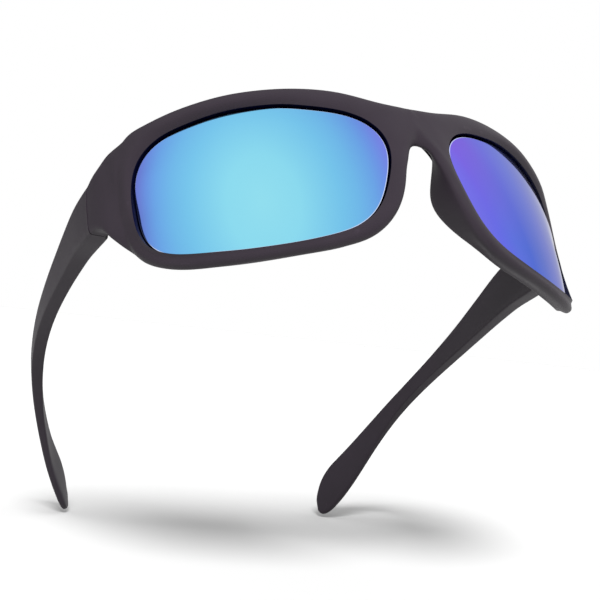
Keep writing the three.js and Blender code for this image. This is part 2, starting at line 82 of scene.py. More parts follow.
STATIONS = [
    [67.8, -10.5, 71.9, -10.9, 't', 4.5, 0.9], [68.8, -6.0, 73.1, -6.1, 't', 4.5, 0.3], [69.1, -1.0, 73.5, -1.0, 't', 4.5, 0],
    [69.0, 4.0, 73.5, 4.5, 't', 4.5, 0], [67.8, 9.0, 73.3, 10.0, 't', 4.5, 0], [65.3, 13.0, 72.6, 15.5, 't', 4.5, 0],
    [61.5, 15.6, 70.5, 20.35, 't', 4.5, 0],
    [57.3, 16.7, 65.0, 21.15, 'r', 4.5, 0], [52.4, 17.5, 58.5, 22.15, 'r', 4.5, 0], [47.4, 18.3, 51.5, 23.0, 'r', 4.5, 0],
    [42.0, 18.7, 44.0, 23.6, 'r', 4.5, 0], [36.5, 18.7, 36.5, 23.7, 'r', 4.5, 0], [31.0, 18.5, 29.5, 23.5, 'r', 4.5, 0],
    [26.0, 17.3, 23.0, 22.8, 'r', 4.5, 0], [21.3, 16.0, 17.5, 21.8, 'r', 4.5, 0], [17.3, 15.0, 12.8, 20.55, 'r', 4.5, 0],
    [14.2, 13.5, 8.5, 19.4, 'r', 4.6, 0], [11.9, 12.0, 4.3, 18.75, 'r', 4.7, 0],
    [10.2, 10.2, 0, 18.6, 'b', 4.8, 0], [9.2, 8.4, 0, 17.0, 'b', 4.8, 0, 16.6, [[6.3, 10.9], [1.9, 15.0], [2.6, 15.4], [7.6, 11.2]]], [8.5, 6.5, 0, 13.9, 'b', 4.8, 0, 14.7, [[6.0, 8.7], [1.8, 12.4], [2.8, 13.8], [7.5, 10.0]]],
    [8.2, 4.5, 0, 10.5, 'b', 4.8, 0, 12.5, [[5.9, 6.8], [1.9, 9.7], [3.2, 12.2], [7.6, 8.6]]], [8.3, 2.4, 0, 6.9, 'b', 4.7, 0, 10.4, [[6.1, 5.0], [2.3, 7.6], [3.4, 10.7], [7.4, 7.4]]],
    [8.6, 0.2, 2.55, 5.5, 'r', 4.8, 5.5, 9.2, [[6.9, 2.4], [4.1, 5.0], [6.9, 7.6], [7.5, 4.0]]], [9.2, -2.2, 3.8, 2.6, 'r', 5.8, 6.2, 4.6], [9.9, -4.4, 4.8, -0.5, 'r', 7.4, 5.6, -0.4],
    [10.7, -6.6, 5.6, -3.7, 'r', 8.0, 0.4], [11.7, -9.0, 6.6, -6.9, 'r', 7.8, 0.7], [13.0, -11.4, 8.1, -10.3, 'r', 6.9, 1.2],
    [14.7, -13.7, 10.2, -13.5, 'r', 5.9, 1.7], [17.0, -15.6, 13.0, -16.4, 'r', 5.0, 2.0], [20.0, -17.0, 16.8, -18.75, 'r', 4.6, 1.8],
    [23.6, -17.9, 21.5, -20.0, 'r', 4.5, 1.2], [28.0, -18.5, 27.0, -20.9, 'r', 4.5, 1.2], [33.0, -18.8, 33.0, -21.3, 'r', 4.5, 1.2],
    [38.8, -18.9, 40.0, -21.4, 'r', 4.5, 1.2], [45.0, -18.7, 46.5, -21.2, 'r', 4.5, 1.2], [51.0, -18.0, 53.0, -20.5, 'r', 4.5, 1.2],
    [56.6, -17.2, 59.0, -19.3, 'r', 4.5, 1.2], [61.5, -16.0, 64.3, -17.3, 'r', 4.5, 1.2], [65.3, -13.6, 68.5, -14.7, 'r', 4.5, 1.2]]
ENDPIECE = [[75.8, -5.6, 19.35, 1.4, -4.2], [78.2, -2.2, 17.4, 2.0, -3.9], [80.8, -0.3, 15.8, 2.5, -3.4],
    [83.0, 0.1, 14.4, 2.75, -2.9]]
COL_F = [0, 0.075, 0.3, 0.52, 0.74, 0.91, 1]
OUT_SHAPE = [-0.95, -0.12, 0, 0.05, 0, -0.3, -1.4]
IN_SHAPE = [0.95, 0.12, 0, 0, 0, 0.25, 1.4]
THICK = [[83, 2.75, -2.9], [92, 2.65, -2.6], [100, 2.38, -2.28], [110, 2.13, -1.95], [120, 2.02, -1.85], [130, 1.9, -1.8],
    [140, 1.77, -1.75], [150, 1.7, -1.6], [160, 1.56, -1.36], [170, 1.27, -1.1], [180, 0.72, -1.35], [190, -0.25, -2.4], [197, -1.1, -3.2]]
PLATE_D = [-2.2, -1.5]
ENDPIECE_FINE = ENDPIECE[:-1] + [[82.55] + [a * 0.2 + b * 0.8 for a, b in zip(ENDPIECE[-2][1:], ENDPIECE[-1][1:])], ENDPIECE[-1]]

# stage numbers: lobes of the studio dome and the soft key, in the camera's right, up and towards directions
FLOOR_EL = 3.2
FLOOR_GAP = 0.001
FLOOR_ALBEDO = 0.50
AMBIENT = 0.16
LOBES = [((-0.2, 0.72, 0.66), -0.1, 0.9, 0.86), ((0.85, 0.15, -0.5), 0.25, 0.95, 0.85)]
KEYS = [("key", (0.18, 1.0, 1.0), 22.0, 5.6)]


# ------------------------------------------------------------------ the wrap line
DS = 0.25
LP = len(PHI)


def cubic(T, x):
    x = min(max(x, 0.0), len(T) - 1.0001)
    k = int(x); f = x - k
    a, b = T[max(k - 1, 0)], T[k]
    c, d = T[min(k + 1, len(T) - 1)], T[min(k + 2, len(T) - 1)]
    if k == 0:
        a = 2 * b - c
    return b + 0.5 * f * (c - a + f * (2 * a - 5 * b + 4 * c - d + f * (3 * (b - c) + d - a)))


def heading(s):
    return cubic(PHI, s / PHI_STEP)


LINE = [(0.0, 0.0)]
for _i in range(1, int(215 / DS) + 1):
    _h = heading((_i - 0.5) * DS); _p = LINE[-1]
    LINE.append((_p[0] + math.cos(_h) * DS, _p[1] + math.sin(_h) * DS))


def at(s, z, d):
    i = min(max(s / DS, 0), len(LINE) - 1.001); k = int(i); f = i - k
    h = heading(s); fade = 1 / (1 + math.exp((s - FADE_AT) / FADE_LEN))
    off = d - 0.5 * CURVE_V * z * z * fade
    return (LINE[k][0] + (LINE[k + 1][0] - LINE[k][0]) * f + math.sin(h) * off,
            LINE[k][1] + (LINE[k + 1][1] - LINE[k][1]) * f - math.cos(h) * off + math.tan(PANTO) * z * fade, z)


CP, SP = math.cos(PITCH), math.sin(PITCH)


def place(q, flip=1):
    x, y, z = q
    return Vector((flip * x * SIZE / 1000, ((y * CP - z * SP) * SIZE - ORIGIN_Y) / 1000, ((y * SP + z * CP) * SIZE - ORIGIN_Z) / 1000))


def turn(v):
    return Vector((v[0], v[1] * CP - v[2] * SP, v[1] * SP + v[2] * CP))


def opening(s, z):
    r = lambda t: OPEN_R + sum(c[0] * math.cos((i + 2) * t) + c[1] * math.sin((i + 2) * t) for i, c in enumerate(OPEN_AB))
    q = lambda t: (OPEN_S + r(t) * math.cos(t), r(t) * math.sin(t))
    t = math.atan2(z, s - OPEN_S)
    a, b = q(t - 0.02), q(t + 0.02)
    l = math.hypot(b[0] - a[0], b[1] - a[1])
    return q(t), ((b[1] - a[1]) / l, -(b[0] - a[0]) / l), t


# ------------------------------------------------------------------ small mesh kit
PULL = 0.9


class Cage:
    def __init__(self):
        self.v = []; self.f = []; self.crease = {}; self.inside = set()

    def p(self, q):
        self.v.append(q); return len(self.v) - 1

    def quad(self, *f):
        self.f.append(list(f))

    def edge(self, a, b, c):
        self.crease[(min(a, b), max(a, b))] = c


def make(name, cage, sides=(1,), levels=0, smooth=True, pull=3, mats=()):
    """A mesh object from one half cage, mirrored onto every side asked for and welded, then subdivided so that the
    finished surface passes through the cage's own points."""
    seen, verts, faces, crease, marks = {}, [], [], {}, []
    for flip in sides:
        idx = []
        for q in cage.v:
            k = (round(flip * q[0], 4) + 0.0, round(q[1], 4) + 0.0, round(q[2], 4) + 0.0)
            if k not in seen:
                seen[k] = len(verts); verts.append(place(q, flip))
            idx.append(seen[k])
        for j, f in enumerate(cage.f):
            g = [idx[i] for i in f]
            faces.append(g if flip == 1 else g[::-1])
            marks.append(1 if j in cage.inside else 0)
        for (a, b), c in cage.crease.items():
            a, b = idx[a], idx[b]
            crease[(min(a, b), max(a, b))] = c
    me = D.meshes.new(name)
    me.from_pydata(verts, [], faces)
    me.update()
    for m in mats:
        me.materials.append(m)
    if len(mats) > 1:
        for p in me.polygons:
            p.material_index = marks[p.index]
    if levels:
        at_ = me.attributes.new("crease_edge", "FLOAT", "EDGE")
        for e in me.edges:
            k = (min(e.vertices), max(e.vertices))
            if k in crease:
                at_.data[e.index].value = crease[k]
    ob = D.objects.new(name, me)
    SC.collection.objects.link(ob)
    if levels:
        m = ob.modifiers.new("s", "SUBSURF")
        m.levels = m.render_levels = levels
        m.quality = 4
        m.use_creases = True
        n = len(verts)
        goal = [v.copy() for v in verts]
        cur = [v.copy() for v in verts]
        for _ in range(pull):
            bpy.context.view_layer.update()
            ev = ob.evaluated_get(bpy.context.evaluated_depsgraph_get()).to_mesh()
            for i in range(n):
                cur[i] += (goal[i] - ev.vertices[i].co) * PULL
            ob.evaluated_get(bpy.context.evaluated_depsgraph_get()).to_mesh_clear()
            for i in range(n):
                me.vertices[i].co = cur[i]
            me.update()
        bake(ob)
    if smooth:
        for p in ob.data.polygons:
            p.use_smooth = True
    return ob


def bake(ob):
    """Applies an object's modifiers to its mesh."""
    bpy.context.view_layer.update()
    dg = bpy.context.evaluated_depsgraph_get()
    me = D.meshes.new_from_object(ob.evaluated_get(dg))
    old = ob.data
    ob.modifiers.clear()
    ob.data = me
    me.name = ob.name
    D.meshes.remove(old)


def cut(ob, tools, op="DIFFERENCE"):
    for t in tools:
        m = ob.modifiers.new("b", "BOOLEAN")
        m.operation = op; m.object = t; m.solver = "EXACT"
        bake(ob)
    for t in tools:
        D.objects.remove(t)
    return ob


def autosmooth(ob, deg=32):
    for p in ob.data.polygons:
        p.use_smooth = True
    ob.data.set_sharp_from_angle(angle=math.radians(deg))


# ------------------------------------------------------------------ front frame
def clamp(v):
    return min(max(v, 0.0), 1.0)


def frame_cage():
    c = Cage()
    ring = []
    for row in STATIONS:
        i_s, i_z, os, oz, kind, rear, tuck = row[:7]
        rz = row[7] if len(row) > 7 else None
        p, n, _ = opening(i_s, i_z)
        e = (os - p[0], oz - p[1]); w = math.hypot(*e); u = (e[0] / w, e[1] / w)
        put = lambda s, z, d: c.p(at(max(s, 0), z, d))
        on = lambda k, d: put(0 if (k == w and kind == 'b') else p[0] + u[0] * k, p[1] + u[1] * k, d)
        nn = lambda k, d: put(p[0] + n[0] * k, p[1] + n[1] * k, d)
        crown = 0.42 + 0.024 * oz * clamp((os - 6) / 18) + 0.45 * clamp((os - 28) / 14) * clamp((oz - 2) / 10) \
            - 0.55 * clamp((os - 50) / 12) * clamp(-(oz + 1) / 6)
        pad = rear - REAR_D; flange = pad > 0.6
        mid = kind == 'b' and 7.5 < oz < 18; root = kind == 't' and -10 < oz < 20
        R = (os - u[0] * tuck, oz - u[1] * tuck) if rz is None else (tuck, rz)
        g = (p[0] - R[0], p[1] - R[1]); gl = math.hypot(*g)
        back = lambda k, d: put(R[0] + g[0] / gl * k, R[1] + g[1] / gl * k, d)
        d2 = crown - 0.1 + 0.12 * clamp((9 - os) / 5) * clamp(oz / 5)
        r = [on(0, 0), on(w * 0.3, crown), on(w * (0.79 if os < 20 and oz > 5 else 0.76), d2), on(w, 0.45 if mid else crown + 0.1 if root else crown - 1.5),
             put(0 if kind == 'b' else R[0], R[1], -4.3 if mid else -4.4 if root else -(rear - 1.2) if flange else -3.4),
             back(1.1 if flange else gl * 0.22, -rear + (0 if flange else 0.1)),
             back(min(2.6, gl * 0.75) if flange else gl * 0.72, -(REAR_D + pad * 0.6) if flange else -rear),
             on(0, -4.4), on(0, -GROOVE_BACK), nn(GROOVE_IN, -GROOVE_BACK), nn(GROOVE_IN, -LIP_T), on(0, -LIP_T)]
        if len(row) > 8:
            for (m, d), q in zip(((1, crown), (2, d2), (5, -rear + 0.1), (6, -rear)), row[8]):
                c.v[r[m]] = at(q[0], q[1], d)
        ring.append(r)
    N, M = len(ring), 12
    CR = {0: 0.8, 7: 0.35, 8: 0.7, 9: 0.9, 10: 0.9, 11: 0.75}
    for k in range(N):
        a, b = ring[k], ring[(k + 1) % N]
        ka, kb = STATIONS[k][4], STATIONS[(k + 1) % N][4]
        for m in range(M):
            if m in CR:
                c.edge(a[m], b[m], CR[m])
            if m == 3 and ka == kb and ka in 'bt':
                continue
            if m == 11:
                # the lip's inner faces take the second material, the painted shade
                c.inside.add(len(c.f))
            c.quad(a[m], a[(m + 1) % M], b[(m + 1) % M], b[m])
    T = [i for i in range(N) if STATIONS[i][4] == 't']
    outer = [ring[i][3] for i in T]; inner = [ring[i][4] for i in T]
    for s, zb, zt, dO, dI in ENDPIECE_FINE:
        o2 = [c.p(at(s, zb + (zt - zb) * f, dO + OUT_SHAPE[i])) for i, f in enumerate(COL_F)]
        ease = 0.3 if s > 82.9 else 0.06 if s > 82.3 else 0
        i2 = [c.p(at(s, zb + (zt - zb) * f, dI + ease + IN_SHAPE[i])) for i, f in enumerate(COL_F)]
        for i in range(6):
            c.quad(outer[i], o2[i], o2[i + 1], outer[i + 1])
            c.quad(inner[i + 1], i2[i + 1], i2[i], inner[i])
        c.edge(outer[0], o2[0], 0.35); c.edge(inner[0], i2[0], 0.35)
        c.quad(inner[0], i2[0], o2[0], outer[0])
        c.quad(outer[6], o2[6], i2[6], inner[6])
        outer, inner = o2, i2
    for i in range(6):
        c.quad(outer[i], inner[i], inner[i + 1], outer[i + 1])
        c.edge(outer[i], outer[i + 1], 0.8); c.edge(inner[i], inner[i + 1], 0.8)
    c.edge(outer[0], inner[0], 0.8); c.edge(outer[6], inner[6], 0.8)
    return c


# ------------------------------------------------------------------ temple
def thick(s, j):
    k = 0
    while k < len(THICK) - 2 and s > THICK[k + 1][0]:
        k += 1
    a, b = THICK[k], THICK[k + 1]
    return a[j] + (b[j] - a[j]) * (s - a[0]) / (b[0] - a[0])


def table(T, s):
    return cubic(T, (s - TZ_S0) / TZ_STEP)


def temple_cage():
    c = Cage()
    S = [SEAM_S + SEAM_GAP, 83.9, 85.5, 88, 92, 97, 103, 109, 116, 123, 130, 137, 144, 150, 156, 162, 168, 174, 180, 185]
    S += [TEMPLE_END - TIP_R + TIP_R * a for a in (0.12, 0.34, 0.56, 0.76, 0.91, 0.985)]
    loops = []
    for s in S:
        k = max((s - (TEMPLE_END - TIP_R)) / TIP_R, 0)
        shrink = max(1 - k ** 2.3, 0.01) ** (1 / 2.3); thin = 1 - 0.35 * k * k
        zc, hh = table(TZC, s), table(THH, s) * shrink
        e = min(1, hh / 4) * thin; edge = min(1, max(0.62, 1 - (s - 83) * 0.014))
        o = [c.p(at(s, zc - hh + 2 * hh * f, thick(s, 1) * thin + OUT_SHAPE[i] * e * edge)) for i, f in enumerate(COL_F)]
        ease = 0.4 if s < 83.5 else 0.1 if s < 84 else 0
        n = [c.p(at(s, zc - hh + 2 * hh * f, thick(s, 2) * thin + ease + IN_SHAPE[i] * e * edge)) for i, f in enumerate(COL_F)]
        loops.append(o + n[::-1])
    for a, b in zip(loops, loops[1:]):
        for i in range(14):
            j = (i + 1) % 14
            c.quad(a[i], b[i], b[j], a[j])
    A, B = loops[0], loops[-1]
    for i in range(6):
        c.quad(A[i], A[i + 1], A[12 - i], A[13 - i]); c.quad(B[i], B[13 - i], B[12 - i], B[i + 1])
    for i in range(14):
        c.edge(A[i], A[(i + 1) % 14], 0.8)
    for a, b in zip(loops[:-4], loops[1:]):
        c.edge(a[0], b[0], 0.35); c.edge(a[13], b[13], 0.35)
    return c


# ------------------------------------------------------------------ lens: a fine curved shell
# its margin sits low behind the rim's lip; a bevel, wider along the top, rises from it to the coated pane
# at the lower outer end the pane sinks back below the lip, which stands proud of it there
# each front row: [step, share of the bevel's width, d]; each back row: [step, distance in from the opening, d]
PANE_D = -0.66
FRONT_STEP = [(0.0, -0.65, -1.62), (0.1, -0.58, -1.55), (0.4, -0.1, -1.55), (0.8, 0.04, -1.54), (0.9, 0.07, -1.48), (1.0, 0.10, -1.30)]
BACK_STEP = [(-0.65, -3.38), (-0.58, -3.45), (-0.1, -3.45), (0.6, -3.45), (1.2, -3.45)]


def lens_object(name, flip):
    N, R = 176, 20
    edge = []
    for k in range(N):
        t = 2 * math.pi * k / N
        edge.append(opening(OPEN_S + 10 * math.cos(t), 10 * math.sin(t))[:2])
    verts, faces, mat, attr = [], [], [], []
    wide = [0.16 + BEVEL_W * clamp(0.5 + 0.8 * math.sin(2 * math.pi * k / N)) for k in range(N)]

    def sink(s, z):
        g, h = clamp((s - 50.0) / 11.0), clamp((8.0 - z) / 11.0)
        return g * g * (3 - 2 * g) * h * h * (3 - 2 * h)

    def sunk(s, z, d):
        return d if d <= -1.54 else -1.54 + (d + 1.54) * (1 - 0.80 * sink(s, z))

    wide = [0.16 + (w_ - 0.16) * (1 - sink(*p)) for w_, (p, n) in zip(wide, edge)]

    def rows_of(rows, last):
        out = []
        for row in rows:
            r = []
            for (p, n), (u, dl, d) in zip(edge, row):
                q = (p[0] - n[0] * dl, p[1] - n[1] * dl)
                verts.append(place(at(q[0], q[1], sunk(q[0], q[1], d)), flip)); r.append(len(verts) - 1); attr.append((q[0], q[1], u))
            out.append(r)
        for i in range(1, R):
            f = 1 - i / R
            r = []
            for (p, n), (u, dl, d) in zip(edge, rows[-1]):
                q = (OPEN_S + (p[0] - n[0] * dl - OPEN_S) * f, (p[1] - n[1] * dl) * f)
                verts.append(place(at(q[0], q[1], sunk(q[0], q[1], d)), flip)); r.append(len(verts) - 1); attr.append((q[0], q[1], 3.0))
            out.append(r)
        verts.append(place(at(OPEN_S, 0, last), flip)); attr.append((OPEN_S, 0, 3.0))
        return out, len(verts) - 1
    front_rows = [[row] * N for row in FRONT_STEP]
    for u, f, d in ((1.3, 0.3, -1.10), (1.6, 0.6, -0.87), (1.8, 0.8, -0.73), (1.93, 0.93, -0.69), (2.0, 1.0, -0.67), (2.1, 1.08, PANE_D)):
        front_rows.append([(u, 0.10 + w_ * f, d) for w_ in wide])
    front_rows.append([(2.4, 0.10 + w_ * 1.08 + 0.13, PANE_D) for w_ in wide])
    front_rows.append([(2.6, 0.10 + w_ * 1.08 + 0.20, PANE_D) for w_ in wide])
    front_rows.append([(3.0, 1.3, PANE_D)] * N)
    fr, cf = rows_of(front_rows, PANE_D)
    bk, cb = rows_of([[(3.0,) + row] * N for row in BACK_STEP], -3.45)

    def add(m, *f):
        faces.append(f if flip == 1 else f[::-1]); mat.append(m)
    for k in range(N):
        j = (k + 1) % N
        for r in range(len(fr) - 1):
            add(0, fr[r][k], fr[r][j], fr[r + 1][j], fr[r + 1][k])
        for r in range(len(bk) - 1):
            add(1, bk[r + 1][k], bk[r + 1][j], bk[r][j], bk[r][k])
        add(0, fr[-1][k], fr[-1][j], cf); add(1, bk[-1][j], bk[-1][k], cb)
        add(1, bk[0][k], bk[0][j], fr[0][j], fr[0][k])
    me = D.meshes.new(name)
    me.from_pydata(verts, [], faces)
    me.update()
    a = me.attributes.new("lens_uv", "FLOAT_VECTOR", "POINT")
    for i, q in enumerate(attr):
        a.data[i].vector = q
    for i, m in enumerate(mat):
        me.polygons[i].material_index = m
        me.polygons[i].use_smooth = True
    me.set_sharp_from_angle(angle=math.radians(60))
    ob = D.objects.new(name, me)
    SC.collection.objects.link(ob)
    return ob


# ------------------------------------------------------------------ hinge pieces
_x, _y, _ = at(AXIS_S, 0, AXIS_D)


def rod(name, profile, flip, n=48):
    """A solid of revolution about the hinge axis from (radius, z) pairs, bottom to top, closed on the axis."""
    verts, faces = [], []
    for r, z in profile:
        for i in range(n):
            a = 2 * math.pi * i / n
            verts.append(place((_x + r * math.cos(a), _y + r * math.sin(a), z), flip))
    m = len(profile)
    for k in range(m - 1):
        for i in range(n):
            j = (i + 1) % n
            f = [k * n + i, k * n + j, (k + 1) * n + j, (k + 1) * n + i]
            faces.append(f if flip == 1 else f[::-1])
    f0, f1 = list(range(n))[::-1], [(m - 1) * n + i for i in range(n)]
    faces += [f0, f1] if flip == 1 else [f0[::-1], f1[::-1]]
    me = D.meshes.new(name); me.from_pydata(verts, [], faces); me.update()
    ob = D.objects.new(name, me); SC.collection.objects.link(ob)
    return ob


def leaf(name, s0, s1, z0, z1, d0, d1, flip, n=8):
    verts, faces = [], []
    for i in range(n + 1):
        s = s0 + (s1 - s0) * i / n
        for z, d in ((z0, d0), (z1, d0), (z1, d1), (z0, d1)):
            verts.append(place(at(s, z, d), flip))
    for i in range(n):
        for m in range(4):
            f = [i * 4 + (m + 1) % 4, (i + 1) * 4 + (m + 1) % 4, (i + 1) * 4 + m, i * 4 + m]
            faces.append(f if flip == 1 else f[::-1])
    a, b = [3, 2, 1, 0], [n * 4, n * 4 + 1, n * 4 + 2, n * 4 + 3]
    faces += [a, b] if flip == 1 else [a[::-1], b[::-1]]
    me = D.meshes.new(name); me.from_pydata(verts, [], faces); me.update()
    ob = D.objects.new(name, me); SC.collection.objects.link(ob)
    return ob


def union(name, obs):
    ob = cut(obs[0], obs[1:], "UNION")
    ob.name = ob.data.name = name
    return ob


def soften(ob, w=0.00008, deg=35):
    m = ob.modifiers.new("v", "BEVEL")
    m.width = w; m.segments = 2; m.limit_method = "ANGLE"; m.angle_limit = math.radians(deg)
    bake(ob); autosmooth(ob, 40)
    return ob


def knuckle(z0, z1, flip):
    r, c = KNUCKLE_R, 0.12
    return rod("k", [(r - c, z0), (r, z0 + c), (r, z1 - c), (r - c, z1)], flip)


def bore(flip):
    return rod("bore", [(BORE_R, KN[0][0] - 1), (BORE_R, KN[2][1] + 1)], flip)


# ------------------------------------------------------------------ node helpers
def lin(rgb):
    return tuple((c / 255 / 12.92 if c / 255 <= 0.04045 else ((c / 255 + 0.055) / 1.055) ** 2.4) for c in rgb) + (1,)


def material(name):
    m = D.materials.new(name); m.use_nodes = True
    nt = m.node_tree; nt.nodes.clear()
    out = nt.nodes.new("ShaderNodeOutputMaterial"); b = nt.nodes.new("ShaderNodeBsdfPrincipled")
    nt.links.new(b.outputs[0], out.inputs[0])
    return m, nt, b


def node(nt, kind, **kw):
    n = nt.nodes.new(kind)
    for k, v in kw.items():
        if k.startswith("in_"):
            key = k[3:]
            n.inputs[int(key) if key.isdigit() else key.replace("_", " ")].default_value = v
        else:
            setattr(n, k, v)
    return n


def ramp(nt, stops, interp="LINEAR"):
    n = nt.nodes.new("ShaderNodeValToRGB"); r = n.color_ramp; r.interpolation = interp
    while len(r.elements) > 1:
        r.elements.remove(r.elements[-1])
    r.elements[0].position = stops[0][0]; r.elements[0].color = stops[0][1]
    for p, c in stops[1:]:
        e = r.elements.new(p); e.color = c
    return n


def mixc(nt, a, b, f, blend="MIX"):
    n = nt.nodes.new("ShaderNodeMix"); n.data_type = "RGBA"; n.blend_type = blend
    for sock, v in ((n.inputs[0], f), (n.inputs[6], a), (n.inputs[7], b)):
        if hasattr(v, "default_value") or hasattr(v, "is_linked"):
            nt.links.new(v, sock)
        else:
            sock.default_value = v
    return n.outputs[2]


# soft-touch matte plastic: fine moulded grain, faint cloudy variation, slightly polished edges
def plastic(name, tint=1.0, grain=1.0):
    m, nt, b = material(name)
    tc = node(nt, "ShaderNodeTexCoord")
    cloud = node(nt, "ShaderNodeTexNoise", in_Scale=90.0, in_Detail=3.0, in_Roughness=0.55)
    fine = node(nt, "ShaderNodeTexNoise", in_Scale=5200.0, in_Detail=2.0, in_Roughness=0.6)
    speck = node(nt, "ShaderNodeTexVoronoi", in_Scale=2600.0)
    for n in (cloud, fine, speck):
        nt.links.new(tc.outputs["Object"], n.inputs["Vector"])
    base = ramp(nt, [(0.3, tuple(c * tint for c in BASE_DARK) + (1,)), (0.72, tuple(c * tint for c in BASE_LIGHT) + (1,))])
    nt.links.new(cloud.outputs["Fac"], base.inputs[0])
    geo = node(nt, "ShaderNodeNewGeometry")
    wear = ramp(nt, [(0.53, (0, 0, 0, 1)), (0.62, (1, 1, 1, 1))])
    nt.links.new(geo.outputs["Pointiness"], wear.inputs[0])
    brk = node(nt, "ShaderNodeTexNoise", in_Scale=700.0, in_Detail=4.0, in_Roughness=0.7)
    nt.links.new(tc.outputs["Object"], brk.inputs["Vector"])
    brr = ramp(nt, [(0.42, (0, 0, 0, 1)), (0.66, (1, 1, 1, 1))])
    nt.links.new(brk.outputs["Fac"], brr.inputs[0])
    wm = node(nt, "ShaderNodeMath", operation="MULTIPLY")
    nt.links.new(wear.outputs[0], wm.inputs[0]); nt.links.new(brr.outputs[0], wm.inputs[1])
    wk = node(nt, "ShaderNodeMath", operation="MULTIPLY", in_1=0.35)
    nt.links.new(wm.outputs[0], wk.inputs[0])
    col = mixc(nt, base.outputs[0], tuple(c * tint * 1.9 for c in BASE_LIGHT) + (1,), wk.outputs[0])
    fleck = ramp(nt, [(0.0, (0.86, 0.86, 0.86, 1)), (0.5, (1.0, 1.0, 1.0, 1))])
    nt.links.new(speck.outputs["Distance"], fleck.inputs[0])
    col = mixc(nt, col, fleck.outputs[0], 0.5 * grain, "MULTIPLY")
    nt.links.new(col, b.inputs["Base Color"])
    rr = node(nt, "ShaderNodeMapRange", in_3=0.50, in_4=0.62)
    nt.links.new(cloud.outputs["Fac"], rr.inputs[0])
    rs = node(nt, "ShaderNodeMath", operation="SUBTRACT")
    nt.links.new(rr.outputs[0], rs.inputs[0])
    rk = node(nt, "ShaderNodeMath", operation="MULTIPLY", in_1=0.12)
    nt.links.new(wm.outputs[0], rk.inputs[0]); nt.links.new(rk.outputs[0], rs.inputs[1])
    nt.links.new(rs.outputs[0], b.inputs["Roughness"])
    b1 = node(nt, "ShaderNodeBump", in_Strength=0.30 * grain, in_Distance=0.00003)
    nt.links.new(fine.outputs["Fac"], b1.inputs["Height"])
    nt.links.new(b1.outputs[0], b.inputs["Normal"])
    b.inputs["Specular IOR Level"].default_value = SPEC
    b.inputs["Sheen Weight"].default_value = 0.01
    b.inputs["Sheen Roughness"].default_value = 0.5
    return m


# the inside of the rim opening, in front of the lens, is polished and painted near black navy: painted shade of the
# recess under the lip, on the same plastic as the rest of the frame
def lip_shade_material(name):
    m, nt, b = material(name)
    tc = node(nt, "ShaderNodeTexCoord")
    n1 = node(nt, "ShaderNodeTexNoise", in_Scale=260.0, in_Detail=3.0, in_Roughness=0.6); nt.links.new(tc.outputs["Object"], n1.inputs["Vector"])
    base = ramp(nt, [(0.3, LIP_SHADE_DARK + (1,)), (0.7, LIP_SHADE_LIGHT + (1,))]); nt.links.new(n1.outputs["Fac"], base.inputs[0]); nt.links.new(base.outputs[0], b.inputs["Base Color"])
    rr = node(nt, "ShaderNodeMapRange", in_3=0.22, in_4=0.34); nt.links.new(n1.outputs["Fac"], rr.inputs[0]); nt.links.new(rr.outputs[0], b.inputs["Roughness"])
    n2 = node(nt, "ShaderNodeTexNoise", in_Scale=4000.0, in_Detail=2.0); nt.links.new(tc.outputs["Object"], n2.inputs["Vector"])
    bp = node(nt, "ShaderNodeBump", in_Strength=0.1, in_Distance=0.00002); nt.links.new(n2.outputs["Fac"], bp.inputs["Height"]); nt.links.new(bp.outputs[0], b.inputs["Normal"])
    b.inputs["Specular IOR Level"].default_value = 0.08
    return m


def steel(name):
    m, nt, b = material(name)
    tc = node(nt, "ShaderNodeTexCoord")
    mp = node(nt, "ShaderNodeMapping"); mp.inputs["Scale"].default_value = (1, 1, 0.08)
    nt.links.new(tc.outputs["Object"], mp.inputs[0])
    br = node(nt, "ShaderNodeTexNoise", in_Scale=9000.0, in_Detail=3.0)
    nt.links.new(mp.outputs[0], br.inputs["Vector"])
    st = node(nt, "ShaderNodeTexNoise", in_Scale=900.0, in_Detail=3.0)
    nt.links.new(tc.outputs["Object"], st.inputs["Vector"])
    base = ramp(nt, [(0.3, (0.30, 0.295, 0.285, 1)), (0.7, (0.42, 0.415, 0.40, 1))])
    nt.links.new(st.outputs["Fac"], base.inputs[0]); nt.links.new(base.outputs[0], b.inputs["Base Color"])
    rr = node(nt, "ShaderNodeMapRange", in_3=0.2, in_4=0.4)
    nt.links.new(br.outputs["Fac"], rr.inputs[0]); nt.links.new(rr.outputs[0], b.inputs["Roughness"])
    bp = node(nt, "ShaderNodeBump", in_Strength=0.2, in_Distance=0.00002)
    nt.links.new(br.outputs["Fac"], bp.inputs["Height"]); nt.links.new(bp.outputs[0], b.inputs["Normal"])
    b.inputs["Metallic"].default_value = 1.0
    return m
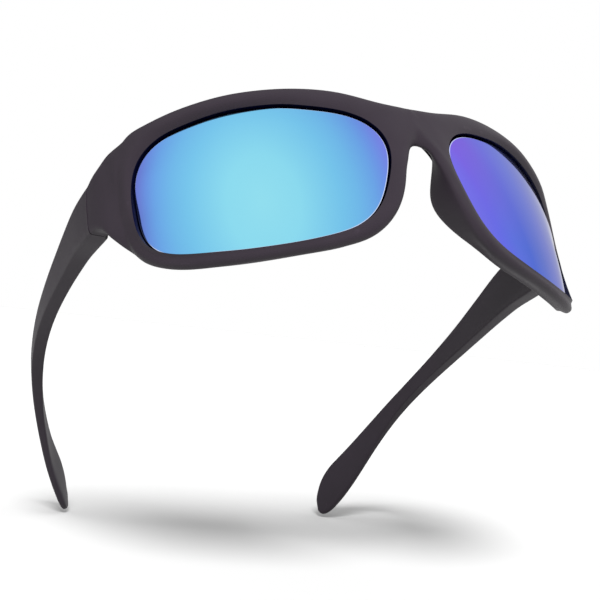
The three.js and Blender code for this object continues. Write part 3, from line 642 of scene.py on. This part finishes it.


# mirror coating: its base colour runs from cyan in the middle through blue to violet at the edges, partly the coating's
# interference colour and partly a painted reflection of the studio; it turns bluer, then paler, as the surface tips
# away
def mirror(name):
    m, nt, b = material(name)
    L = nt.links.new

    def math_(op, x, y=None, z=None):
        n = nt.nodes.new("ShaderNodeMath"); n.operation = op
        for i, v in enumerate((x, y, z)):
            if v is None:
                continue
            if isinstance(v, (int, float)):
                n.inputs[i].default_value = v
            else:
                L(v, n.inputs[i])
        return n.outputs[0]
    at_ = node(nt, "ShaderNodeAttribute", attribute_name="lens_uv")
    sep = node(nt, "ShaderNodeSeparateXYZ"); L(at_.outputs["Vector"], sep.inputs[0])
    x = math_("MULTIPLY_ADD", sep.outputs[0], 1 / 27.0, -MID[0] / 27.0)
    y = math_("MULTIPLY_ADD", sep.outputs[1], 1 / 42.0, -MID[1] / 42.0)
    r = math_("SQRT", math_("ADD", math_("MULTIPLY", x, x), math_("MULTIPLY", y, y)))
    # painted reflection: the base colour is lighter cyan in the middle of the lens and deeper blue and violet towards
    # its edges, partly the coating's own colour
    coat_and_reflection = ramp(nt, [(p / 1.2, lin(c)) for p, c in COAT_AND_REFLECTION_RAMP]); L(math_("MULTIPLY", r, 1 / 1.2), coat_and_reflection.inputs[0])
    lw = node(nt, "ShaderNodeLayerWeight", in_Blend=0.5)
    hi = ramp(nt, [(p, lin(c)) for p, c in SHIFT_TOP]); L(lw.outputs["Facing"], hi.inputs[0])
    lo = ramp(nt, [(p, lin(c)) for p, c in SHIFT_LOW]); L(lw.outputs["Facing"], lo.inputs[0])
    up = node(nt, "ShaderNodeMapRange", in_1=-13.0, in_2=12.0); L(sep.outputs[1], up.inputs[0])
    shift = mixc(nt, lo.outputs[0], hi.outputs[0], up.outputs[0])
    amount = ramp(nt, [(SHIFT_AT[0], (0, 0, 0, 1)), (SHIFT_AT[1], (1, 1, 1, 1))], "EASE"); L(lw.outputs["Facing"], amount.inputs[0])
    col = mixc(nt, coat_and_reflection.outputs[0], shift, amount.outputs[0])
    tc = node(nt, "ShaderNodeTexCoord")
    coatv = node(nt, "ShaderNodeTexNoise", in_Scale=28.0, in_Detail=2.0, in_Roughness=0.5); L(tc.outputs["Object"], coatv.inputs["Vector"])
    cv = ramp(nt, [(0.3, (0.95, 0.965, 0.98, 1)), (0.7, (1.0, 1.0, 1.0, 1))]); L(coatv.outputs["Fac"], cv.inputs[0])
    col = mixc(nt, col, cv.outputs[0], 1.0, "MULTIPLY")
    # the bevel gets a painted highlight, a near-white line in the base colour; the margin outside it is painted dark
    # navy, partly an uncoated margin and partly painted shade of the recess under the lip
    step = math_("MULTIPLY", sep.outputs[2], 1 / 3.0)
    bevel_highlight = ramp(nt, [(1.96 / 3, (0, 0, 0, 1)), (2.06 / 3, (1, 1, 1, 1)), (2.38 / 3, (1, 1, 1, 1)), (2.52 / 3, (0, 0, 0, 1))]); L(step, bevel_highlight.inputs[0])
    # painted shade: the lens margin is darkened to navy, partly an uncoated margin and partly the shade of the recess
    # under the lip
    margin_shade = ramp(nt, [(1.66 / 3, (1, 1, 1, 1)), (1.84 / 3, (0, 0, 0, 1))]); L(step, margin_shade.inputs[0])
    col = mixc(nt, col, lin((12, 14, 60)), margin_shade.outputs[0])
    col = mixc(nt, col, lin((214, 226, 255)), math_("MULTIPLY", bevel_highlight.outputs[0], BEVEL_HIGHLIGHT_GAIN))
    L(col, b.inputs["Base Color"])
    dust = node(nt, "ShaderNodeTexNoise", in_Scale=420.0, in_Detail=5.0, in_Roughness=0.65); L(tc.outputs["Object"], dust.inputs["Vector"])
    rr = node(nt, "ShaderNodeMapRange", in_3=0.04, in_4=0.10); L(dust.outputs["Fac"], rr.inputs[0]); L(rr.outputs[0], b.inputs["Roughness"])
    wav = node(nt, "ShaderNodeTexNoise", in_Scale=45.0, in_Detail=1.0); L(tc.outputs["Object"], wav.inputs["Vector"])
    bp = node(nt, "ShaderNodeBump", in_Strength=0.03, in_Distance=0.0002); L(wav.outputs["Fac"], bp.inputs["Height"]); L(bp.outputs[0], b.inputs["Normal"])
    b.inputs["Metallic"].default_value = 1.0
    b.inputs["Specular Tint"].default_value = EDGE_TINT
    b.inputs["Coat Weight"].default_value = 0.04
    b.inputs["Coat Roughness"].default_value = 0.03
    return m


def lens_back(name):
    m, nt, b = material(name)
    tc = node(nt, "ShaderNodeTexCoord")
    n = node(nt, "ShaderNodeTexNoise", in_Scale=60.0, in_Detail=2.0)
    nt.links.new(tc.outputs["Object"], n.inputs["Vector"])
    base = ramp(nt, [(0.3, (0.010, 0.011, 0.016, 1)), (0.7, (0.016, 0.017, 0.024, 1))])
    nt.links.new(n.outputs["Fac"], base.inputs[0]); nt.links.new(base.outputs[0], b.inputs["Base Color"])
    f = node(nt, "ShaderNodeTexNoise", in_Scale=400.0, in_Detail=3.0)
    nt.links.new(tc.outputs["Object"], f.inputs["Vector"])
    rr = node(nt, "ShaderNodeMapRange", in_3=0.04, in_4=0.10)
    nt.links.new(f.outputs["Fac"], rr.inputs[0]); nt.links.new(rr.outputs[0], b.inputs["Roughness"])
    b.inputs["Coat Weight"].default_value = 0.5
    b.inputs["Coat Roughness"].default_value = 0.04
    return m


# ------------------------------------------------------------------ looks, tuned
BASE_DARK = (0.0112, 0.0072, 0.0122)
BASE_LIGHT = (0.0142, 0.0096, 0.0154)
MID = (39.0, -8.0)
# lens base colour by distance from MID: partly the coating's colour, partly a painted reflection, lighter in the middle
COAT_AND_REFLECTION_RAMP = [(0.0, (146, 222, 238)), (0.3, (140, 218, 238)), (0.45, (130, 208, 236)), (0.63, (118, 196, 234)), (0.78, (112, 184, 232)),
          (0.93, (108, 166, 231)), (1.02, (109, 150, 229)), (1.1, (114, 136, 226)), (1.2, (122, 122, 222))]
SHIFT_TOP = [(0.36, (112, 146, 230)), (0.44, (118, 112, 230)), (0.51, (134, 102, 226)), (0.57, (133, 110, 226)), (0.64, (126, 126, 228)), (0.71, (132, 143, 227)),
             (0.77, (146, 155, 222)), (0.83, (156, 166, 216)), (0.89, (178, 180, 216)), (0.97, (203, 202, 224))]
SHIFT_LOW = [(0.36, (112, 146, 230)), (0.44, (116, 112, 228)), (0.50, (106, 112, 232)), (0.56, (100, 120, 226)), (0.62, (92, 118, 218)), (0.69, (116, 134, 212)),
             (0.76, (145, 152, 214)), (0.82, (176, 176, 210)), (0.90, (190, 190, 215)), (1.0, (200, 200, 222))]
SHIFT_AT = (0.36, 0.44)
# strength of the painted highlight on the lens bevel
BEVEL_HIGHLIGHT_GAIN = 0.9
EDGE_TINT = (0.5, 0.52, 0.75, 1.0)
SPEC = 0.32
# painted shade for the lip's inner faces
LIP_SHADE_DARK = (0.0008, 0.0010, 0.0065)
LIP_SHADE_LIGHT = (0.0014, 0.0018, 0.0130)
BEVEL_W = 0.46
PL = plastic("soft_touch_plastic")
PT = plastic("soft_touch_plastic_temple")
LIP_SHADE = lip_shade_material("rim_lip_painted_shade")
ST = steel("nickel_silver")
MI = mirror("ice_mirror")
LB = lens_back("lens_back_tint")

# ------------------------------------------------------------------ build
def slot_tool(s0, s1, flip):
    return leaf("slot", s0, s1, KN[0][0] - 0.35, KN[2][1] + 0.35, PLATE_D[0] - 0.32, PLATE_D[1] + 0.32, flip)


def well_tool(flip):
    return rod("well", [(WELL_R, -6), (WELL_R, KN[2][1] + 0.45)], flip, 64)


front = make("front_frame_fine", frame_cage(), (1, -1), 3, mats=(PL, LIP_SHADE))
cut(front, [slot_tool(77.4, 83.6, 1), slot_tool(77.4, 83.6, -1), well_tool(1), well_tool(-1)])
autosmooth(front)
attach(front, "front"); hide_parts("front_frame")

for side, flip in (("left", 1), ("right", -1)):
    body = side + "_temple"
    lens = lens_object("lens_fine_" + side, flip)
    lens.data.materials.append(MI); lens.data.materials.append(LB)
    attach(lens, "front"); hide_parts("lens_" + side)
    t = make("temple_fine_" + side, temple_cage(), (flip,), 3)
    cut(t, [slot_tool(82.8, 89.0, flip), well_tool(flip)])
    autosmooth(t)
    t.data.materials.clear(); t.data.materials.append(PT)
    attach(t, body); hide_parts("temple_" + side)
    P = PLATE_D
    f = union("front_leaf_fine_" + side, [leaf("a", 77.7, 81.55, KN[0][0], KN[2][1], P[0], P[1], flip),
              leaf("b", 81.3, 83.1, KN[0][0], KN[0][1], P[0], P[1], flip), leaf("c", 81.3, 83.1, KN[2][0], KN[2][1], P[0], P[1], flip),
              knuckle(KN[0][0], KN[0][1], flip), knuckle(KN[2][0], KN[2][1], flip)])
    cut(f, [bore(flip)]); soften(f)
    f.data.materials.clear(); f.data.materials.append(ST)
    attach(f, "front"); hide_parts("hinge_front_leaf_" + side)
    g = union("temple_leaf_fine_" + side, [leaf("a", 84.8, 88.7, KN[0][0], KN[2][1], P[0], P[1], flip),
              leaf("b", 83.25, 85.0, KN[1][0], KN[1][1], P[0], P[1], flip), knuckle(KN[1][0], KN[1][1], flip)])
    cut(g, [bore(flip)]); soften(g)
    g.data.materials.clear(); g.data.materials.append(ST)
    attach(g, body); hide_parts("hinge_temple_leaf_" + side)
    z0, z1 = KN[0][0] - 0.5, KN[2][1] + 0.1
    h = rod("screw_fine_" + side, [(HEAD_R - 0.45, z0 - 0.6), (HEAD_R - 0.12, z0 - 0.5), (HEAD_R, z0 - 0.35), (HEAD_R, z0 + 0.12), (HEAD_R - 0.08, z0 + 0.2),
            (SCREW_R, z0 + 0.2), (SCREW_R, z1 - 0.15), (SCREW_R - 0.15, z1)], flip)
    drv = D.meshes.new("d"); bm = bmesh.new(); bmesh.ops.create_cube(bm, size=1)
    cpos = place((_x, _y, z0 - 0.62), flip)
    bmesh.ops.scale(bm, vec=(0.0003, 0.0026, 0.0007), verts=bm.verts); bmesh.ops.translate(bm, vec=cpos, verts=bm.verts)
    bm.to_mesh(drv); bm.free()
    do = D.objects.new("d", drv); SC.collection.objects.link(do)
    cut(h, [do]); soften(h, 0.00003)
    h.data.materials.clear(); h.data.materials.append(ST)
    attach(h, "front"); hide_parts("hinge_screw_" + side)

# ------------------------------------------------------------------ camera, at the photograph's viewing angle
CAM_R = ((0.8971117211447973, -0.4198026782078994, -0.1376817749525844), (0.0937765790669888, 0.485471496431085, -0.8692084786582881),
         (0.4317366245792822, 0.7668657884678634, 0.4748898287755278))
CAM_T = (28.488914082500465, -29.997728541658965, 272.0829756268322)
pos = [-sum(CAM_R[k][j] * CAM_T[k] for k in range(3)) for j in range(3)]
RIGHT, UP, AWAY = turn(CAM_R[0]), -turn(CAM_R[1]), turn(CAM_R[2])
cam = D.objects.new("camera", D.cameras.new("camera"))
SC.collection.objects.link(cam); SC.camera = cam
cam.matrix_world = Matrix.Translation(place(pos)) @ Matrix((RIGHT, UP, -AWAY)).transposed().to_4x4()
cam.data.sensor_width = 36.0
cam.data.lens = 36.0 * 1204.405 / 600
cam.data.clip_start = 0.01; cam.data.clip_end = 20

# ------------------------------------------------------------------ stage: a pale floor under the temple tips, seen only from its upper side
N_ = UP * math.cos(math.radians(FLOOR_EL)) - AWAY * math.sin(math.radians(FLOOR_EL))
tips = []
for o in (D.objects["temple_fine_left"], D.objects["temple_fine_right"]):
    tips.append(min((o.matrix_world @ v.co for v in o.data.vertices), key=lambda p: p.dot(N_)))
chord = tips[0] - tips[1]
N_ = (N_ - chord * (N_.dot(chord) / chord.length_squared)).normalized()
low = min((o.matrix_world @ v.co).dot(N_) for o in (D.objects["temple_fine_left"], D.objects["temple_fine_right"], front) for v in o.data.vertices)
c0 = Vector((0, 0, 0.02)); c0 = c0 - N_ * (c0.dot(N_) - low + FLOOR_GAP)
u1 = RIGHT - N_ * RIGHT.dot(N_); u1.normalize(); u2 = N_.cross(u1)
fm = D.meshes.new("floor"); hw = 1.6
fm.from_pydata([c0 + u1 * a * hw + u2 * b_ * hw for a, b_ in ((-1, -1), (1, -1), (1, 1), (-1, 1))], [], [(0, 1, 2, 3)])
fm.update()
floor = D.objects.new("floor", fm); SC.collection.objects.link(floor)
m = D.materials.new("pale_floor"); m.use_nodes = True; nt = m.node_tree; nt.nodes.clear()
out = node(nt, "ShaderNodeOutputMaterial"); tr = node(nt, "ShaderNodeBsdfTransparent"); df = node(nt, "ShaderNodeBsdfDiffuse", in_Color=(FLOOR_ALBEDO,) * 3 + (1,))
gg = node(nt, "ShaderNodeNewGeometry"); mx = node(nt, "ShaderNodeMixShader")
nt.links.new(gg.outputs["Backfacing"], mx.inputs[0]); nt.links.new(df.outputs[0], mx.inputs[1]); nt.links.new(tr.outputs[0], mx.inputs[2]); nt.links.new(mx.outputs[0], out.inputs[0])
fm.materials.append(m)

# ------------------------------------------------------------------ light
w = D.worlds.new("studio"); SC.world = w; w.use_nodes = True; nt = w.node_tree; nt.nodes.clear()
out = node(nt, "ShaderNodeOutputWorld"); lp = node(nt, "ShaderNodeLightPath")
bgc = node(nt, "ShaderNodeBackground", in_0=(1, 1, 1, 1), in_1=1.0)
bge = node(nt, "ShaderNodeBackground", in_1=1.0)
tc = node(nt, "ShaderNodeTexCoord")
acc = None
for vec, lo, hi, amt in LOBES:
    d = node(nt, "ShaderNodeVectorMath", operation="DOT_PRODUCT"); nt.links.new(tc.outputs["Generated"], d.inputs[0])
    v = (RIGHT * vec[0] + UP * vec[1] - AWAY * vec[2]).normalized(); d.inputs[1].default_value = v
    r = node(nt, "ShaderNodeMapRange", interpolation_type="SMOOTHERSTEP", in_1=lo, in_2=hi, in_3=0.0, in_4=amt); nt.links.new(d.outputs["Value"], r.inputs[0])
    if acc is None:
        acc = r.outputs[0]
    else:
        a = node(nt, "ShaderNodeMath", operation="ADD"); nt.links.new(acc, a.inputs[0]); nt.links.new(r.outputs[0], a.inputs[1]); acc = a.outputs[0]
a = node(nt, "ShaderNodeMath", operation="ADD", in_1=AMBIENT); nt.links.new(acc, a.inputs[0])
nt.links.new(a.outputs[0], bge.inputs[0])
mx = node(nt, "ShaderNodeMixShader"); nt.links.new(lp.outputs["Is Camera Ray"], mx.inputs[0]); nt.links.new(bge.outputs[0], mx.inputs[1]); nt.links.new(bgc.outputs[0], mx.inputs[2])
nt.links.new(mx.outputs[0], out.inputs[0])
for name, vec, angle, strength in KEYS:
    L = D.lights.new(name, "SUN"); L.angle = math.radians(angle); L.energy = strength
    o = D.objects.new(name, L); SC.collection.objects.link(o)
    dirn = (RIGHT * vec[0] + UP * vec[1] - AWAY * vec[2]).normalized()
    o.location = Vector((0, -0.02, 0.02)) + dirn
    o.rotation_euler = (-dirn).to_track_quat("-Z", "Y").to_euler()
    o.visible_glossy = False; o.visible_camera = False
SC.view_settings.view_transform = "Standard"
SC.view_settings.look = "None"
SC.view_settings.exposure = 0.0
SC.view_settings.gamma = 1.0
